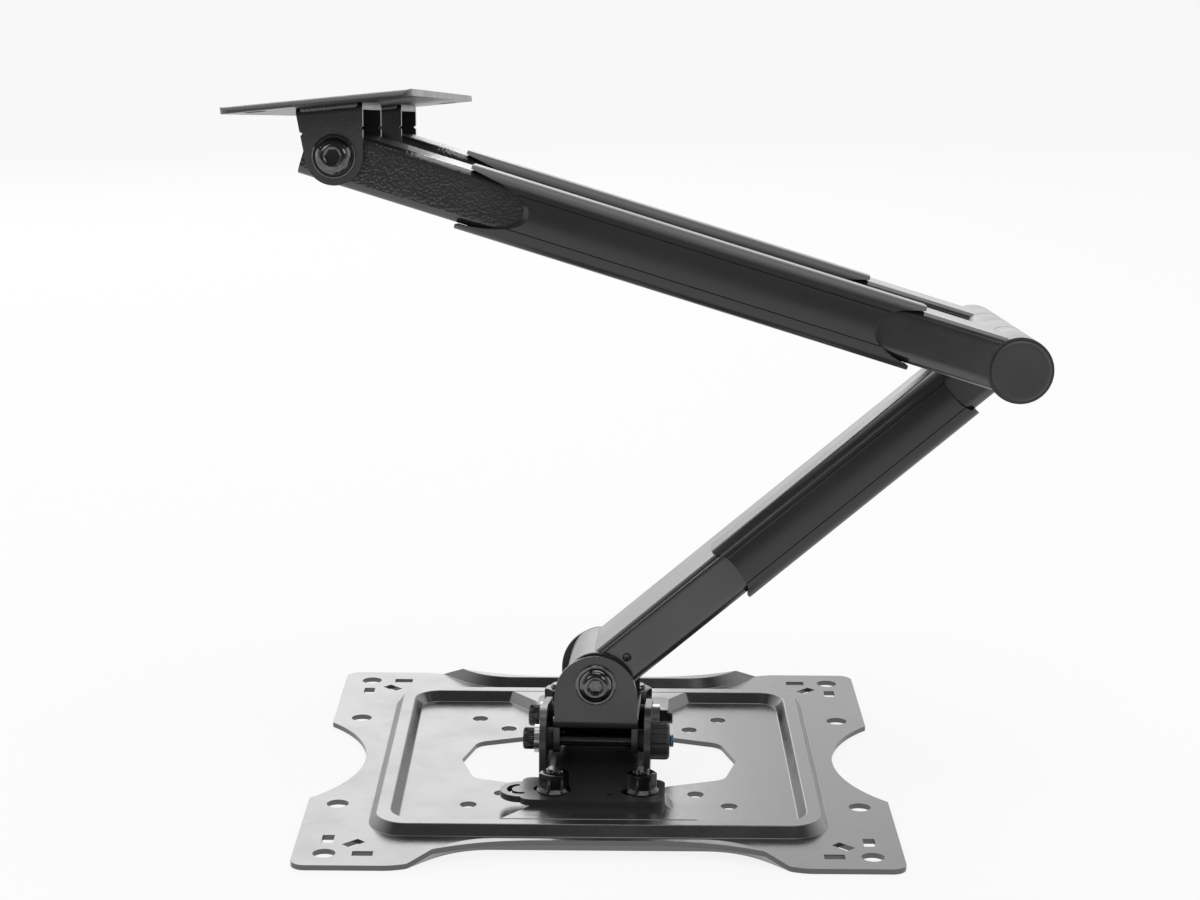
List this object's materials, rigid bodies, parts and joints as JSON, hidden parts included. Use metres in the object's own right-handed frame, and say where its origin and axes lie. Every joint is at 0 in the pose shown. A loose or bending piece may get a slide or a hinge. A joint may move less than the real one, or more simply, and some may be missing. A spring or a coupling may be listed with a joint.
{
  "type": "tv wall mount",
  "caption": "Black steel screen wall mount: a folding arm on a square screen plate, with level, tilt and swivel joints and a clip-on cable cover on each tube.",
  "frame": {"origin": "centre of the screen plate's hole patterns, on the face that the screen bolts to", "axes": "+Z away from the screen; X and Y along the rows of the hole patterns, +Y towards the pivot bolt of the tilt bracket; the part lies on its screen face as pictured"},
  "size_m": [0.3008, 0.2575, 0.2782],
  "materials": {
    "plate_paint": "satin black powder coat",
    "bracket_paint": "satin black powder coat",
    "tube_paint": "satin black, fine grain",
    "sleeve_paint": "gloss black",
    "wall_paint": "satin black powder coat",
    "cover_plastic": "fine matt grain",
    "cap_plastic": "matt",
    "bush_plastic": "smooth nylon",
    "knob_plastic": "matt, fluted",
    "black_bolt": "gloss black oxide",
    "black_nut": "black zinc",
    "screw_steel": "dark chrome, knurled head",
    "bright_steel": "bright zinc"
  },
  "bodies": {
    "plate": {"screen_plate": "plate_paint", "level_stud_front_left": "black_nut", "level_stud_front_right": "black_nut", "level_stud_rear_left": "black_nut", "level_stud_rear_right": "black_nut", "level_nut_front_left": "black_nut", "level_nut_front_right": "black_nut", "level_nut_rear_left": "black_nut", "level_nut_rear_right": "black_nut"},
    "tilt_base": {"tilt_bracket": "bracket_paint", "pivot_bolt": "screw_steel", "pivot_washer_left": "bright_steel", "pivot_spacer": "bright_steel", "pivot_nut": "bright_steel", "pivot_disc_left": "bush_plastic", "pivot_disc_right": "bush_plastic"},
    "yoke": {"swivel_yoke": "bracket_paint", "lock_bolt": "screw_steel", "lock_washer": "bright_steel", "lock_disc_left": "bush_plastic", "lock_disc_right": "bush_plastic", "head_bolt": "black_bolt", "head_nut": "black_nut"},
    "knob": {"tilt_knob": "knob_plastic"},
    "lower_arm": {"head_sleeve": "sleeve_paint", "head_bush_near": "bush_plastic", "head_bush_far": "bush_plastic", "lower_tube": "tube_paint", "stop_screw": "screw_steel", "lower_cover": "cover_plastic", "elbow_sleeve": "sleeve_paint", "elbow_bush_near": "bush_plastic", "elbow_bush_far": "bush_plastic"},
    "upper_arm": {"elbow_rod": "bright_steel", "upper_tube_near": "tube_paint", "upper_sleeve_near": "sleeve_paint", "elbow_cap_near": "cap_plastic", "upper_cover_near": "cover_plastic", "upper_tube_far": "tube_paint", "upper_sleeve_far": "sleeve_paint", "elbow_cap_far": "cap_plastic", "upper_cover_far": "cover_plastic"},
    "wall_mount": {"wall_plate": "wall_paint", "wall_bracket_near": "wall_paint", "wall_bolt_near": "black_bolt", "wall_nut_near": "black_nut", "wall_bracket_far": "wall_paint", "wall_bolt_far": "black_bolt", "wall_nut_far": "black_nut", "wall_washer_near_outer": "bright_steel", "wall_washer_near_inner": "bright_steel", "wall_washer_far_outer": "bright_steel", "wall_washer_far_inner": "bright_steel"}
  },
  "joints": [
    {"name": "level", "type": "hinge", "parent": "plate", "child": "tilt_base", "pos_m": [-0.0004, 0, 0], "axis": [0, 0, 1], "range_deg": [-0.8, 5.2]},
    {"name": "tilt", "type": "hinge", "parent": "tilt_base", "child": "yoke", "pos_m": [-0.00002, 0.00999, 0.0172], "axis": [0.9993, -0.0384, 0], "range_deg": [-9.2, 8.8]},
    {"name": "knob_turn", "type": "hinge", "parent": "yoke", "child": "knob", "pos_m": [-0.00128, -0.02297, 0.01904], "axis": [0.9993, -0.0384, 0], "continuous": true},
    {"name": "head_swivel", "type": "hinge", "parent": "yoke", "child": "lower_arm", "pos_m": [-0.0004, 0.00001, 0.04053], "axis": [0.0382, 0.9941, -0.1011], "range_deg": [-60, 24]},
    {"name": "elbow", "type": "hinge", "parent": "lower_arm", "child": "upper_arm", "pos_m": [0.15298, 0.00724, 0.16961], "axis": [-0.0382, -0.9941, 0.1011], "range_deg": [-120, 45]},
    {"name": "wall_swivel", "type": "hinge", "parent": "upper_arm", "child": "wall_mount", "pos_m": [-0.09284, 0.0241, 0.24266], "axis": [0.0382, 0.9941, -0.1011], "range_deg": [-155, 20]}
  ]
}
